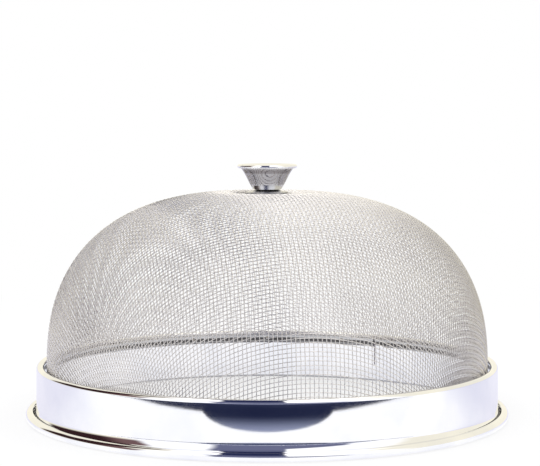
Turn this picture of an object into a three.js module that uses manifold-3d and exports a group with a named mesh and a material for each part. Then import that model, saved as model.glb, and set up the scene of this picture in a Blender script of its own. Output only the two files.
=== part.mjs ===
// Mesh food dome: a pressed dome of woven wire cloth, held in a rolled steel rim and lifted by a hollow knob.
// Lengths are millimetres and +Z is up. The origin is the centre of the circle that the rim stands on, and
// -Y is the front. The rim's lap seam is at the back.

import * as THREE from "three";
import { mergeVertices } from "three/addons/utils/BufferGeometryUtils.js";
import Module from "manifold-3d";

const wasm = await Module();
wasm.setup();

// Rim: one strip of sheet, rolled outward at the foot and inward at the top. Its wall spreads at the foot.
const rimDiameter = 307.2;
const rimHeight = 33.4;
const sheetThickness = 0.6;
const footBeadDiameter = 6;
const topBeadDiameter = 6;
const footFlareHeight = 9.8;
const footFlareReach = 1.4;
const wallTaper = 0.2;
const lapWidth = 8;
const spotWeldDiameter = 3;
const spotWeldDepth = 0.2;
const spotWeldCount = 3;
const seamAngle = THREE.MathUtils.degToRad(57);

// Cloth: each strand stands for a band of the real wires, with about the same steel in each area.
// Its middle surface is a superellipse turned about the axis, with the crown drawn down by the washers.
const domeRise = 109.6;
const domeOutPower = 2.8;
const domeUpPower = 2.3;
const crownDip = 1.5;
const crownDipDiameter = 84;
const skirtDepth = 6;
const strandPitch = 23.4;
const strandWidth = 3.3;
const strandThickness = 0.5;
const weaveAngle = THREE.MathUtils.degToRad(10);

// Hoop: the split ring that clamps the skirt of the cloth against the rim's upper bead
const hoopHeight = 5;
const hoopThickness = 0.8;
const hoopSplit = 1.5;

// Knob: a flared cup with a cap rolled over its lip
const knobHeight = 15.7;
const knobLipDiameter = 38;
const knobFootDiameter = 18.4;
const knobSheet = 0.6;
const capDish = 0.8;
const bellyOutShare = 0.38;
const bellyUpShare = 0.28;
const neckOutShare = 0.5;
const neckUpShare = 0.85;

// Fastening: a pan head screw from below, through both washers and the cloth, into a nut in the knob
const washerDiameter = 27;
const crownWasherThickness = 0.5;
const crownWasherDish = 1.2;
const innerWasherThickness = 1;
const screwDiameter = 4;
const screwHeadDiameter = 8;
const screwHeadHeight = 2.6;
const screwHeadFlatShare = 0.55;
const screwHeadEdgeShare = 0.6;
const screwEndLength = 1;
const recessDepth = 1.4;
const recessLength = 4.4;
const recessWidth = 1;
const nutAcrossFlats = 7;
const nutHeight = 3.2;

// The gap that each piece keeps to what it seats on, and how far a cut runs past what it cuts
const seatGap = 0.3;
const overrun = 1;

// Facets
const rimSides = 52;
const knobSides = 24;
const screwSides = 20;
const footBeadSteps = 8;
const footBeadStep = THREE.MathUtils.degToRad(36);
const footBeadLastStep = THREE.MathUtils.degToRad(20);
const topBeadSteps = 6;
const topBeadStep = THREE.MathUtils.degToRad(48);
const lapSides = 2;
const knobSteps = 6;
const lipSteps = 4;
const headSteps = 3;
const solveRounds = 20;

// Radii and heights that follow from the sizes above
const sheetHalf = sheetThickness / 2;
const footBeadRadius = (footBeadDiameter - sheetThickness) / 2;
const topBeadRadius = (topBeadDiameter - sheetThickness) / 2;
const footBendRadius = rimDiameter / 2 - footBeadDiameter + sheetHalf;
const wallFootRadius = footBendRadius - footFlareReach;
const wallTopRadius = wallFootRadius - wallTaper;
const footBeadHeight = sheetHalf + footBeadRadius * Math.cos(footBeadStep / 2);
const topBeadHeight = rimHeight - topBeadDiameter / 2;
const domeRadius = wallTopRadius + sheetHalf - topBeadDiameter - seatGap - strandThickness;
const springHeight = rimHeight;
const skirtFoot = springHeight - skirtDepth;
const apexHeight = springHeight + domeRise;
const clampHeight = apexHeight - crownDip;
const washerRadius = washerDiameter / 2;
const screwRadius = screwDiameter / 2;
const screwHoleRadius = screwRadius + seatGap;

// A solid that can be joined and cut, from a closed geometry
function solidOf(geometry) {
  const bare = geometry.clone();
  bare.deleteAttribute("normal");
  bare.deleteAttribute("uv");
  const merged = mergeVertices(bare);
  return new wasm.Manifold(
    new wasm.Mesh({
      numProp: 3,
      vertProperties: merged.attributes.position.array,
      triVerts: new Uint32Array(merged.index.array),
    }),
  );
}

// A geometry from such a solid
function geometryOf(solid) {
  const mesh = solid.getMesh();
  const geometry = new THREE.BufferGeometry();
  geometry.setAttribute("position", new THREE.BufferAttribute(mesh.vertProperties, 3));
  geometry.setIndex(new THREE.BufferAttribute(mesh.triVerts, 1));
  const flat = geometry.toNonIndexed();
  flat.computeVertexNormals();
  return flat;
}

// A closed geometry from points and four-sided faces, each listed counter-clockwise as seen from outside
function geometryFromQuads(points, quads) {
  const geometry = new THREE.BufferGeometry();
  geometry.setAttribute("position", new THREE.Float32BufferAttribute(points.flatMap((p) => p.toArray()), 3));
  geometry.setIndex(quads.flatMap(([a, b, c, d]) => [a, b, c, a, c, d]));
  geometry.computeVertexNormals();
  return geometry;
}

// Turns a section of (radius, height) points, counter-clockwise, about the Z axis, all the way round
function revolve(section, sides) {
  const geometry = new THREE.LatheGeometry([...section, section[0]], sides);
  return geometry.rotateX(Math.PI / 2);
}

// The same for part of a turn, with flat ends. The section has four corners.
function revolvePart(section, sides, start, sweep) {
  const points = [];
  for (let step = 0; step <= sides; step++) {
    const angle = start + (sweep * step) / sides;
    for (const corner of section)
      points.push(new THREE.Vector3(corner.x * Math.cos(angle), corner.x * Math.sin(angle), corner.y));
  }
  const corners = section.length;
  const quads = [[0, 1, 2, 3]];
  for (let step = 0; step < sides; step++) {
    const near = step * corners;
    const far = near + corners;
    for (let k = 0; k < corners; k++) {
      const next = (k + 1) % corners;
      quads.push([near + k, far + k, far + next, near + next]);
    }
  }
  const last = sides * corners;
  quads.push([last + 3, last + 2, last + 1, last]);
  return geometryFromQuads(points, quads);
}

// A cylinder about the Z axis between two heights
function cylinder(radius, low, high, sides) {
  const geometry = new THREE.CylinderGeometry(radius, radius, high - low, sides);
  return geometry.rotateX(Math.PI / 2).translate(0, 0, (low + high) / 2);
}

// The four corners of a plain rectangular section
function rectangle(innerRadius, outerRadius, low, high) {
  return [
    new THREE.Vector2(innerRadius, low),
    new THREE.Vector2(outerRadius, low),
    new THREE.Vector2(outerRadius, high),
    new THREE.Vector2(innerRadius, high),
  ];
}

// Points on an arc in the section plane, from one angle to another
function arc(centreRadius, centreHeight, radius, start, step, steps) {
  const points = [];
  for (let k = 0; k <= steps; k++) {
    const angle = start + step * k;
    const out = radius * Math.cos(angle);
    const up = radius * Math.sin(angle);
    points.push(new THREE.Vector2(centreRadius + out, centreHeight + up));
  }
  return points;
}

// The outline of bent sheet, half its thickness to each side of its middle line. It is counter-clockwise.
// At a corner the offset grows, so that the sheet keeps its thickness.
function bentSheet(line, thickness) {
  const sides = { left: [], right: [] };
  line.forEach((point, k) => {
    const before = point.clone().sub(line[Math.max(k - 1, 0)]);
    const after = line[Math.min(k + 1, line.length - 1)].clone().sub(point);
    const way = before.normalize().add(after.normalize()).normalize();
    const turn = k > 0 && k < line.length - 1 ? way.dot(after) : 1;
    const offset = new THREE.Vector2(-way.y, way.x).multiplyScalar(thickness / 2 / turn);
    sides.left.push(point.clone().add(offset));
    sides.right.push(point.clone().sub(offset));
  });
  return [...sides.right, ...sides.left.reverse()];
}

// Rim band
function makeRimBand() {
  const footCentre = footBendRadius + footBeadRadius;
  const beadStart = Math.PI + footBeadSteps * footBeadStep;
  const foot = [
    ...arc(footCentre, footBeadHeight, footBeadRadius, beadStart + footBeadLastStep, 0, 0),
    ...arc(footCentre, footBeadHeight, footBeadRadius, beadStart, -footBeadStep, footBeadSteps),
  ];
  const top = arc(wallTopRadius - topBeadRadius, topBeadHeight, topBeadRadius, 0, topBeadStep, topBeadSteps);
  const wallFoot = new THREE.Vector2(wallFootRadius, footFlareHeight);
  const ring = solidOf(revolve(bentSheet([...foot, wallFoot, ...top], sheetThickness), rimSides));

  // The end of the strip that laps inside the wall, with its spot welds
  const lapFoot = footFlareHeight;
  const lapTop = rimHeight - topBeadDiameter - sheetThickness;
  const wallRadiusAt = (height) =>
    wallFootRadius - (wallTaper * (height - footFlareHeight)) / (topBeadHeight - footFlareHeight);
  const lapSection = [
    new THREE.Vector2(wallRadiusAt(lapFoot) - sheetHalf - sheetThickness, lapFoot),
    new THREE.Vector2(wallRadiusAt(lapFoot), lapFoot),
    new THREE.Vector2(wallRadiusAt(lapTop), lapTop),
    new THREE.Vector2(wallRadiusAt(lapTop) - sheetHalf - sheetThickness, lapTop),
  ];
  const lapAngle = lapWidth / wallFootRadius;
  const lap = solidOf(revolvePart(lapSection, lapSides, seamAngle - lapAngle / 2, lapAngle));
  let band = ring.add(lap);
  for (let k = 1; k <= spotWeldCount; k++) {
    const height = lapFoot + ((lapTop - lapFoot) * k) / (spotWeldCount + 1);
    const lapFace = wallRadiusAt(height) - sheetHalf - sheetThickness;
    const punch = cylinder(spotWeldDiameter / 2, lapFace - overrun, lapFace + spotWeldDepth, screwSides);
    punch.rotateY(Math.PI / 2).translate(0, 0, height).rotateZ(seamAngle);
    band = band.subtract(solidOf(punch));
  }
  return geometryOf(band);
}

// How far a point is off the superellipse, as the excess of its sum over 1, and the gradient of that sum
function clothExcess(point) {
  const radius = Math.hypot(point.x, point.y);
  const out = radius / domeRadius;
  const up = Math.max(0, point.z - springHeight) / domeRise;
  const outSlope = radius > 0 ? (domeOutPower * Math.pow(out, domeOutPower - 1)) / domeRadius / radius : 0;
  const upSlope = (domeUpPower * Math.pow(up, domeUpPower - 1)) / domeRise;
  return {
    value: Math.pow(out, domeOutPower) + Math.pow(up, domeUpPower) - 1,
    gradient: new THREE.Vector3(point.x * outSlope, point.y * outSlope, upSlope),
  };
}

// Lowers a point of the crown to where the washers hold the cloth: flat between them, then easing back up
function drawnDown(point) {
  const radius = Math.hypot(point.x, point.y);
  const share = 1 - THREE.MathUtils.smoothstep(radius, washerRadius, crownDipDiameter / 2);
  return point.clone().setZ(THREE.MathUtils.lerp(point.z, clampHeight, share));
}

// The point of the cloth one pitch from each of two neighbours, found from a guess by Newton's method.
// On an edge of the quadrant one neighbour is missing, and the point keeps to that edge's plane instead.
function nextCrossing(guess, first, second, edgeNormal) {
  const point = guess.clone();
  for (let round = 0; round < solveRounds; round++) {
    const cloth = clothExcess(point);
    const rows = [cloth.gradient];
    const errors = [cloth.value];
    for (const neighbour of [first, second]) {
      if (neighbour) {
        const apart = point.clone().sub(neighbour);
        rows.push(apart.clone().multiplyScalar(2));
        errors.push(apart.lengthSq() - strandPitch * strandPitch);
      }
    }
    if (edgeNormal) {
      rows.push(edgeNormal);
      errors.push(point.dot(edgeNormal));
    }
    const matrix = new THREE.Matrix3().set(...rows.flatMap((row) => row.toArray()));
    point.sub(new THREE.Vector3(...errors).applyMatrix3(matrix.invert()));
  }
  return point;
}

// The crossings of the net: warp and weft keep their pitch along the dome and shear over one another.
// One quadrant is worked out from the apex, and mirrored. An entry is kept for each crossing above the
// skirt, and for each neighbour below it, where the strand ends.
function netCrossings(isAbove) {
  const quadrant = new Map();
  const key = (i, j) => i + "," + j;
  const at = (i, j) => quadrant.get(key(i, j));
  quadrant.set(key(0, 0), new THREE.Vector3(0, 0, apexHeight));
  const most = Math.ceil((domeRadius + apexHeight) / strandPitch);
  for (let sum = 1; sum <= 2 * most; sum++) {
    for (let i = 0; i <= sum; i++) {
      const j = sum - i;
      const first = at(i - 1, j);
      const second = at(i, j - 1);
      const before = [first, second].filter(Boolean);
      if (before.length < (i && j ? 2 : 1) || !before.some(isAbove)) continue;
      const corner = at(i - 1, j - 1);
      const edgeNormal = j === 0 ? new THREE.Vector3(0, 1, 0) : new THREE.Vector3(1, 0, 0);
      const onEdge = i === 0 || j === 0;
      const guess = onEdge
        ? before[0].clone().add(new THREE.Vector3(j ? 0 : strandPitch, j ? strandPitch : 0, 0))
        : first.clone().add(second).sub(corner);
      quadrant.set(key(i, j), nextCrossing(guess, first, second, onEdge ? edgeNormal : null));
    }
  }
  const net = new Map();
  for (const [name, point] of quadrant) {
    const [i, j] = name.split(",").map(Number);
    for (const sideX of i ? [1, -1] : [1])
      for (const sideY of j ? [1, -1] : [1])
        net.set(key(i * sideX, j * sideY), drawnDown(point).multiply(new THREE.Vector3(sideX, sideY, 1)));
  }
  return { net, at: (i, j) => net.get(key(i, j)) };
}

// Wire cloth: at each crossing one strand passes over the other, by turns, and the two are fused there.
// Each crossing is a block of two halves, and each strand runs from its half of one block to the next.
function makeMeshDome() {
  const skirtMiddle = springHeight - skirtDepth / 2;
  const isAbove = (point) => point.z > skirtMiddle + strandWidth;
  const { net, at } = netCrossings(isAbove);
  const points = [];
  const quads = [];
  const blocks = new Map();
  const sideWays = [
    [0, -1],
    [1, 0],
    [0, 1],
    [-1, 0],
  ];

  for (const [name, point] of net) {
    if (!isAbove(point)) continue;
    const [i, j] = name.split(",").map(Number);
    const normal = clothExcess(point).gradient.normalize();
    const flat = (v) => v.addScaledVector(normal, -v.dot(normal)).normalize();
    const warp = flat(at(i + 1, j).clone().sub(at(i - 1, j)));
    const weft = flat(at(i, j + 1).clone().sub(at(i, j - 1)));
    const reach = strandWidth / 2 / warp.clone().cross(weft).length();
    blocks.set(name, { i, j, point, normal, first: points.length });
    for (const level of [-1, 0, 1])
      for (const [along, across] of [[-1, -1], [1, -1], [1, 1], [-1, 1]]) {
        const corner = point.clone().addScaledVector(normal, level * strandThickness);
        points.push(corner.addScaledVector(warp, along * reach).addScaledVector(weft, across * reach));
      }
  }

  // A block's corner k on level 0, 1 or 2, and the ring of points where a strand leaves its side
  const cornerOf = (block, level, k) => block.first + 4 * level + ((k + 4) % 4);
  const isOver = (block, side) => (block.i + block.j + side) % 2 !== 0;
  const ringOf = (block, side, low) => [
    cornerOf(block, low, side),
    cornerOf(block, low, side + 1),
    cornerOf(block, low + 1, side + 1),
    cornerOf(block, low + 1, side),
  ];

  for (const block of blocks.values()) {
    quads.push([0, 1, 2, 3].map((k) => cornerOf(block, 2, k)));
    quads.push([3, 2, 1, 0].map((k) => cornerOf(block, 0, k)));
    sideWays.forEach(([stepI, stepJ], side) => {
      const low = isOver(block, side) ? 1 : 0;
      quads.push(ringOf(block, side, 1 - low));
      const ring = ringOf(block, side, low);
      const nextName = block.i + stepI + "," + (block.j + stepJ);
      const neighbour = blocks.get(nextName);
      let far;
      if (neighbour) {
        if (side === 0 || side === 3) return;
        const facing = ringOf(neighbour, side + 2, isOver(neighbour, side) ? 1 : 0);
        far = [facing[1], facing[0], facing[3], facing[2]];
      } else {
        far = strandEnd(block, net.get(nextName), ring);
        quads.push(far);
      }
      ring.forEach((corner, k) => {
        const next = (k + 1) % 4;
        quads.push([corner, ring[next], far[next], far[k]]);
      });
    });
  }

  // The four points where a strand ends, in the middle of the skirt
  function strandEnd(block, beyond, ring) {
    const share = Math.min(1, (block.point.z - skirtMiddle) / (block.point.z - beyond.z));
    const end = block.point.clone().lerp(beyond, share);
    const normal = new THREE.Vector3(end.x, end.y, 0).normalize();
    end.addScaledVector(normal, domeRadius - Math.hypot(end.x, end.y));
    const across = points[ring[1]].clone().sub(points[ring[0]]);
    across.addScaledVector(normal, -across.dot(normal)).setLength(strandWidth / 2);
    const low = end.clone().addScaledVector(normal, -strandThickness / 2);
    const high = end.clone().addScaledVector(normal, strandThickness / 2);
    points.push(low.clone().sub(across), low.clone().add(across));
    points.push(high.clone().add(across), high.clone().sub(across));
    return [4, 3, 2, 1].map((k) => points.length - k);
  }

  const innerFace = domeRadius - strandThickness;
  const outerFace = domeRadius + strandThickness;
  const skirt = revolve(rectangle(innerFace, outerFace, skirtFoot, springHeight), rimSides);
  const patchFoot = clampHeight - strandThickness;
  const patchTop = clampHeight + strandThickness;
  const patch = revolve(rectangle(screwHoleRadius, washerRadius, patchFoot, patchTop), knobSides);
  const hole = cylinder(screwHoleRadius, patchFoot - overrun, patchTop + overrun, knobSides);
  const washerRoom = cylinder(washerRadius + seatGap, patchTop, apexHeight + overrun, knobSides);
  const strands = solidOf(geometryFromQuads(points, quads).rotateZ(weaveAngle)).subtract(solidOf(washerRoom));
  return geometryOf(strands.add(solidOf(skirt)).add(solidOf(patch)).subtract(solidOf(hole)));
}

// Clamping hoop, split where the rim has its seam
function makeClampHoop() {
  const outer = domeRadius - strandThickness - seatGap;
  const section = rectangle(outer - hoopThickness, outer, skirtFoot, skirtFoot + hoopHeight);
  const reach = hoopThickness + overrun;
  const split = new THREE.BoxGeometry(2 * reach, hoopSplit, hoopHeight + 2 * overrun);
  split.translate(outer, 0, skirtFoot + hoopHeight / 2).rotateZ(seamAngle);
  return geometryOf(solidOf(revolve(section, rimSides)).subtract(solidOf(split)));
}

// Heights in the stack at the crown, from the head of the screw to the cap
const innerWasherTop = clampHeight - strandThickness - seatGap;
const screwHeadTop = innerWasherTop - innerWasherThickness - seatGap;
const crownWasherFoot = clampHeight + strandThickness + seatGap;
const knobFoot = crownWasherFoot + crownWasherDish + crownWasherThickness + seatGap;
const nutFoot = knobFoot + knobSheet + seatGap;
const lipRollRadius = knobSheet + seatGap;
const lipHeight = knobFoot + knobHeight - lipRollRadius - knobSheet / 2;
const lipRadius = knobLipDiameter / 2 - lipRollRadius - knobSheet / 2;

// Dished washer under the knob: its rim bears on the cloth and its crown on the knob
function makeCrownWasher() {
  const bearing = knobFootDiameter / 2;
  const line = [
    new THREE.Vector2(screwHoleRadius, crownWasherFoot + crownWasherDish + crownWasherThickness / 2),
    new THREE.Vector2(bearing, crownWasherFoot + crownWasherDish + crownWasherThickness / 2),
    new THREE.Vector2(washerRadius, crownWasherFoot + crownWasherThickness / 2),
  ];
  return revolve(bentSheet(line, crownWasherThickness), knobSides);
}

// Flat washer inside the dome
function makeInnerWasher() {
  const low = innerWasherTop - innerWasherThickness;
  return revolve(rectangle(screwHoleRadius, washerRadius, low, innerWasherTop), knobSides);
}

// Knob body: a floor with the screw's hole, and a side that flares out to the lip
function makeKnobBody() {
  const floorHeight = knobFoot + knobSheet / 2;
  const footRadius = (knobFootDiameter - knobSheet) / 2;
  const lipEnd = lipRadius - seatGap;
  const between = (outShare, upShare) =>
    new THREE.Vector2(
      THREE.MathUtils.lerp(footRadius, lipEnd, outShare),
      THREE.MathUtils.lerp(floorHeight, lipHeight, upShare),
    );
  const flare = new THREE.CubicBezierCurve(
    between(0, 0),
    between(bellyOutShare, bellyUpShare),
    between(neckOutShare, neckUpShare),
    between(1, 1),
  );
  const line = [new THREE.Vector2(screwHoleRadius, floorHeight), ...flare.getPoints(knobSteps)];
  return revolve(bentSheet(line, knobSheet), knobSides);
}

// Knob cap: a dished disc whose rim is rolled round the lip of the body
function makeKnobCap() {
  const discHeight = lipHeight + lipRollRadius;
  const dishRadius = lipRadius - capDish;
  const roll = arc(lipRadius, lipHeight, lipRollRadius, -Math.PI / 2, Math.PI / lipSteps, lipSteps);
  const line = [
    ...roll,
    new THREE.Vector2(dishRadius, discHeight),
    new THREE.Vector2(dishRadius - capDish, discHeight - capDish / 2),
  ].reverse();
  const outline = bentSheet(line, knobSheet);
  const centre = discHeight - capDish / 2;
  const half = knobSheet / 2;
  return revolve(
    [new THREE.Vector2(0, centre - half), ...outline, new THREE.Vector2(0, centre + half)],
    knobSides,
  );
}

// Hexagon nut, welded to the floor of the knob
function makeKnobNut() {
  const cornerRadius = nutAcrossFlats / 2 / Math.cos(Math.PI / 6);
  const nutTop = nutFoot + nutHeight;
  const hexagon = cylinder(cornerRadius, nutFoot, nutTop, 6);
  const bore = cylinder(screwHoleRadius, nutFoot - overrun, nutTop + overrun, screwSides);
  return geometryOf(solidOf(hexagon).subtract(solidOf(bore)));
}

// Pan head screw with a cross recess, its head inside the dome
function makeKnobScrew() {
  const headRadius = screwHeadDiameter / 2;
  const headFoot = screwHeadTop - screwHeadHeight;
  const end = nutFoot + nutHeight + screwEndLength;
  const edge = new THREE.QuadraticBezierCurve(
    new THREE.Vector2(headRadius * screwHeadFlatShare, headFoot),
    new THREE.Vector2(headRadius, headFoot),
    new THREE.Vector2(headRadius, headFoot + screwHeadHeight * screwHeadEdgeShare),
  );
  const section = [
    new THREE.Vector2(0, headFoot),
    ...edge.getPoints(headSteps),
    new THREE.Vector2(headRadius, screwHeadTop),
    new THREE.Vector2(screwRadius, screwHeadTop),
    new THREE.Vector2(screwRadius, end),
    new THREE.Vector2(0, end),
  ];
  let screw = solidOf(revolve(section, screwSides));
  for (const turn of [0, Math.PI / 2]) {
    const slot = new THREE.BoxGeometry(recessLength, recessWidth, recessDepth + overrun);
    slot.rotateZ(turn).translate(0, 0, headFoot + (recessDepth - overrun) / 2);
    screw = screw.subtract(solidOf(slot));
  }
  return geometryOf(screw);
}

// Finishes
const polishedSteel = new THREE.MeshStandardMaterial({ color: 0xe4e6ee, roughness: 0.08, metalness: 1 });
const wireSteel = new THREE.MeshStandardMaterial({ color: 0xcac8c8, roughness: 0.3, metalness: 1 });
const plainSteel = new THREE.MeshStandardMaterial({ color: 0xc4c4c6, roughness: 0.25, metalness: 1 });

const dome = new THREE.Group();
const pieces = [
  ["rim_band", makeRimBand, polishedSteel],
  ["mesh_dome", makeMeshDome, wireSteel],
  ["clamp_hoop", makeClampHoop, plainSteel],
  ["crown_washer", makeCrownWasher, plainSteel],
  ["inner_washer", makeInnerWasher, plainSteel],
  ["knob_body", makeKnobBody, polishedSteel],
  ["knob_cap", makeKnobCap, polishedSteel],
  ["knob_nut", makeKnobNut, plainSteel],
  ["knob_screw", makeKnobScrew, plainSteel],
];
for (const [name, make, material] of pieces) {
  const mesh = new THREE.Mesh(make(), material);
  mesh.name = name;
  dome.add(mesh);
}

export default dome;
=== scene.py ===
"""Looks of the mesh food dome: fine woven wire cloth in a mirror polished rim, under a flared knob.

Lengths are metres in the part's own frame. The origin is the centre of the circle that the rim stands on,
+Z is up and -Y is the front.
"""

import math

import bpy
import numpy as np
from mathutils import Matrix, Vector


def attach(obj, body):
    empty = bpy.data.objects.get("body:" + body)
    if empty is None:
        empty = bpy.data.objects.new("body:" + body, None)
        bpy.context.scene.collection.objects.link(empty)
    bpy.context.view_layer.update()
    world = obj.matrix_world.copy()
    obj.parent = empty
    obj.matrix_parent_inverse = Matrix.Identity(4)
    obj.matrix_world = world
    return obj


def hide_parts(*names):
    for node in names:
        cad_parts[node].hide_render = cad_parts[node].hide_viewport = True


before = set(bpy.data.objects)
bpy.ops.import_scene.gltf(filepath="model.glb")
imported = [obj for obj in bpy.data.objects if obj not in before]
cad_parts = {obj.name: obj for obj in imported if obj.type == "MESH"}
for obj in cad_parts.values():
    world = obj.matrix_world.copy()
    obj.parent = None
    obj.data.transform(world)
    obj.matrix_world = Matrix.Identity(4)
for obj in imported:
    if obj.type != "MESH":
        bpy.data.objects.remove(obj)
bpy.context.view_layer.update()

MM = 0.001

# How close to the axis a point counts as on it, and the least radius that anything is divided by
ON_AXIS = 1e-9
LEAST_RADIUS = 1e-12

# The rim's strip of sheet, rolled outward at the foot and inward at the top
RIM_RADIUS = 153.6 * MM
RIM_HEIGHT = 34.3 * MM
WALL_RADIUS = 146.5 * MM
SHEET = 0.6 * MM
FOOT_BEAD = 6 * MM
TOP_BEAD = 4.6 * MM
FLARE_HEIGHT = 12.6 * MM
FLARE_SHARES = (0.85, 0.60)
WALL_TAPER = 0.2 * MM
WALL_MARGIN = 0.2 * MM
FOOT_CURL = math.radians(299)
TOP_CURL = math.radians(288)
FOOT_STEPS = 36
TOP_STEPS = 32
FLARE_STEPS = 20
RIM_SIDES = 288

# The seam at the back right, where the strip's ends lap, and its spot welds
SEAM_ANGLE = math.radians(57)
LAP_WIDTH = 8 * MM
WELD_RADIUS = 1.5 * MM
WELD_DEPTH = 0.2 * MM
WELD_EDGE_SHARE = 0.5
WELD_ROWS = 13
WELD_COUNT = 3

# The wire cloth, a superellipse of revolution whose crown the washers draw down
DOME_RADIUS = 139.8 * MM
SPRING_HEIGHT = 33.4 * MM
DOME_RISE = 109.6 * MM
DOME_OUT_POWER = 2.8
DOME_UP_POWER = 2.3
CROWN_DIP = 1.5 * MM
CROWN_DIP_RADIUS = 42 * MM
CLOTH_HALF = 0.5 * MM
SEAT_GAP = 0.3 * MM
WIRE = 0.5 * MM
WIRE_PITCH = 2.55 * MM
WIRE_SIDES = 5
WEAVE_ANGLE = math.radians(10)
SKIRT_DEPTH = 6 * MM
NEWTON_STEPS = 12

# The hoop that clamps the skirt of the cloth, with its split and its spot welds
HOOP_HEIGHT = 5 * MM
HOOP_SHEET = 0.8 * MM
HOOP_SPLIT = 1.5 * MM
HOOP_WELD_COUNT = 16
HOOP_EDGE_STEPS = 8
HOOP_SIDES = 288

# The knob and its fastening
KNOB_HEIGHT = 15.7 * MM
KNOB_LIP_RADIUS = 19 * MM
KNOB_FOOT_RADIUS = 9.2 * MM
KNOB_SHEET = 0.6 * MM
KNOB_GROOVE = 1.6 * MM
BELLY_SHARES = (0.34, 0.30)
NECK_SHARES = (0.62, 0.80)
CAP_DISH = 0.8 * MM
WASHER_RADIUS = 13.5 * MM
CROWN_WASHER_SHEET = 0.5 * MM
CROWN_WASHER_DISH = 1.2 * MM
INNER_WASHER_SHEET = 1 * MM
INNER_WASHER_SOFT_SHARE = 1 / 6
SCREW_RADIUS = 2 * MM
SCREW_BEVEL = SCREW_RADIUS / 4
SCREW_END = 1 * MM
HEAD_RADIUS = 4 * MM
HEAD_HEIGHT = 2.6 * MM
HEAD_FLAT_SHARE = 0.55
HEAD_ROUND_SHARE = 0.6
RECESS_DEPTH = 1.4 * MM
RECESS_LENGTH = 4.4 * MM
RECESS_WIDTH = 1 * MM
RECESS_NARROWS = 0.4
NUT_ACROSS_FLATS = 7 * MM
NUT_HEIGHT = 3.2 * MM
NUT_FACE_SHARE = 0.96
NUT_CORNERS = 6
NUT_CHAMFER = math.radians(30)
KNOB_STEPS = 24
LIP_STEPS = 20
HEAD_STEPS = 12
KNOB_SIDES = 128
WASHER_SIDES = 96
NUT_SIDES = 72
SCREW_SIDES = 64

# The steepest bends that are shaded smooth, in degrees
SMOOTH_BEND = 40
SCREW_SMOOTH_BEND = 30

# Lengths that follow from those above
FOOT_BEND_RADIUS = RIM_RADIUS - FOOT_BEAD + SHEET / 2
WALL_TOP_RADIUS = WALL_RADIUS - WALL_TAPER
TOP_BEAD_MIDDLE = RIM_HEIGHT - TOP_BEAD / 2
LAP_INSET = 1.5 * SHEET
SKIRT_FOOT = SPRING_HEIGHT - SKIRT_DEPTH
APEX_HEIGHT = SPRING_HEIGHT + DOME_RISE
CLAMP_HEIGHT = APEX_HEIGHT - CROWN_DIP
SCREW_HOLE_RADIUS = SCREW_RADIUS + SEAT_GAP

# Mirror polish. A pattern is its waves in a metre, along each axis where they differ, and its detail
STREAKS = ((60, 60, 1400), 3)
SMEARS = (28, 3)
WAVES = (16, 1)
SMEAR_EDGES = (0.3, 0.7)
MIRROR_TONES = ((0.80, 0.81, 0.86, 1), (0.90, 0.90, 0.92, 1))
MIRROR_ROUGHNESS = 0.02
STREAK_ROUGHNESS = 0.03
SMEAR_ROUGHNESS = 0.03
MIRROR_BUMP = 0.12
MIRROR_BUMP_DEPTH = 1 * MM
STREAK_BUMP_SHARE = 0.01

# Painted shade and dark reflection on the knob's cup, darker toward the lip and darkest in a ring just under
# it; the lap dark on its free edge; painted shade in the rim's creases
CUP_SHADE_RISE = (145.5 * MM, 148.5 * MM)
CUP_SHADE_SHARE = 0.62
CUP_SHADE_RING = (154.6 * MM, 156.9 * MM)
CUP_SHADE_RING_SOFT = 0.4 * MM
CUP_SHADE_RING_SHARE = 0.6
CUP_SHADE_TONE = (0.16, 0.14, 0.145, 1)
LAP_EDGE = 1.2 * MM
LAP_TONE = (0.2, 0.18, 0.2, 1)
CREASE_TOP_SIDES = (146.35 * MM, 146.45 * MM)
CREASE_TOP_RISE = (25.5 * MM, 31.6 * MM)
CREASE_TOP_SOFT = 0.6 * MM
CREASE_FOOT_SIDES = (149.5 * MM, 150.5 * MM)
CREASE_FOOT_RISE = (1.2 * MM, 2 * MM)
CREASE_FOOT_SHARE = 0.6
CREASE_SHADE_TONE = (0.05, 0.045, 0.05, 1)

# Bright wire, with painted light making it paler toward the crown and painted shade darker toward the right
WIRE_PATCHES = (18, 3)
WIRE_PATCH_EDGES = (0.35, 0.65)
WIRE_TONES = ((0.70, 0.675, 0.665, 1), (0.81, 0.785, 0.77, 1))
WIRE_ROUGHNESS = 0.12
WIRE_PATCH_ROUGHNESS = 0.12
CROWN_RISE = (110 * MM, 140 * MM)
CROWN_LIGHT_SHARE = 0.6
CROWN_LIGHT_TONE = (0.95, 0.93, 0.92, 1)
RIGHT_SIDES = (60 * MM, 115 * MM)
RIGHT_SHADE_SHARE = 0.4
RIGHT_SHADE_TONE = (0.40, 0.385, 0.38, 1)

# Satin sheet, and the track of painted shade round the hoop, with its welds
GRAIN = ((300, 300, 3000), 2)
SATIN_PATCHES = (40, 2)
SATIN_PATCH_EDGES = (0.3, 0.7)
SATIN_TONES = ((0.55, 0.55, 0.56, 1), (0.66, 0.66, 0.67, 1))
SATIN_ROUGHNESS = 0.22
GRAIN_ROUGHNESS = 0.12
SATIN_PATCH_ROUGHNESS = 0.05
WELD_ROUGHNESS = 0.15
SATIN_BUMP = 0.3
SATIN_BUMP_DEPTH = 0.1 * MM
GRAIN_BUMP_SHARE = 0.1
TRACK_SIDES = (-2.1 * MM, 0.4 * MM)
TRACK_SOFT = 0.4 * MM
TRACK_SHADE_SHARE = 0.9
TRACK_SHADE_TONE = (0.05, 0.045, 0.045, 1)
WELD_CORE_SHARE = 0.6
WELD_TONE = (0.36, 0.33, 0.30, 1)

# The photograph, and where the camera that took it stood
PHOTO_WIDTH_PX = 540
FOCAL_PX = 1725.9
AXIS_OFFSET_PX = 2.8
CAMERA_DISTANCE = 1096.4 * MM
CAMERA_HEIGHT = 200.8 * MM
CAMERA_PITCH = math.radians(4.41)
SENSOR_MM = 36

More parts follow.
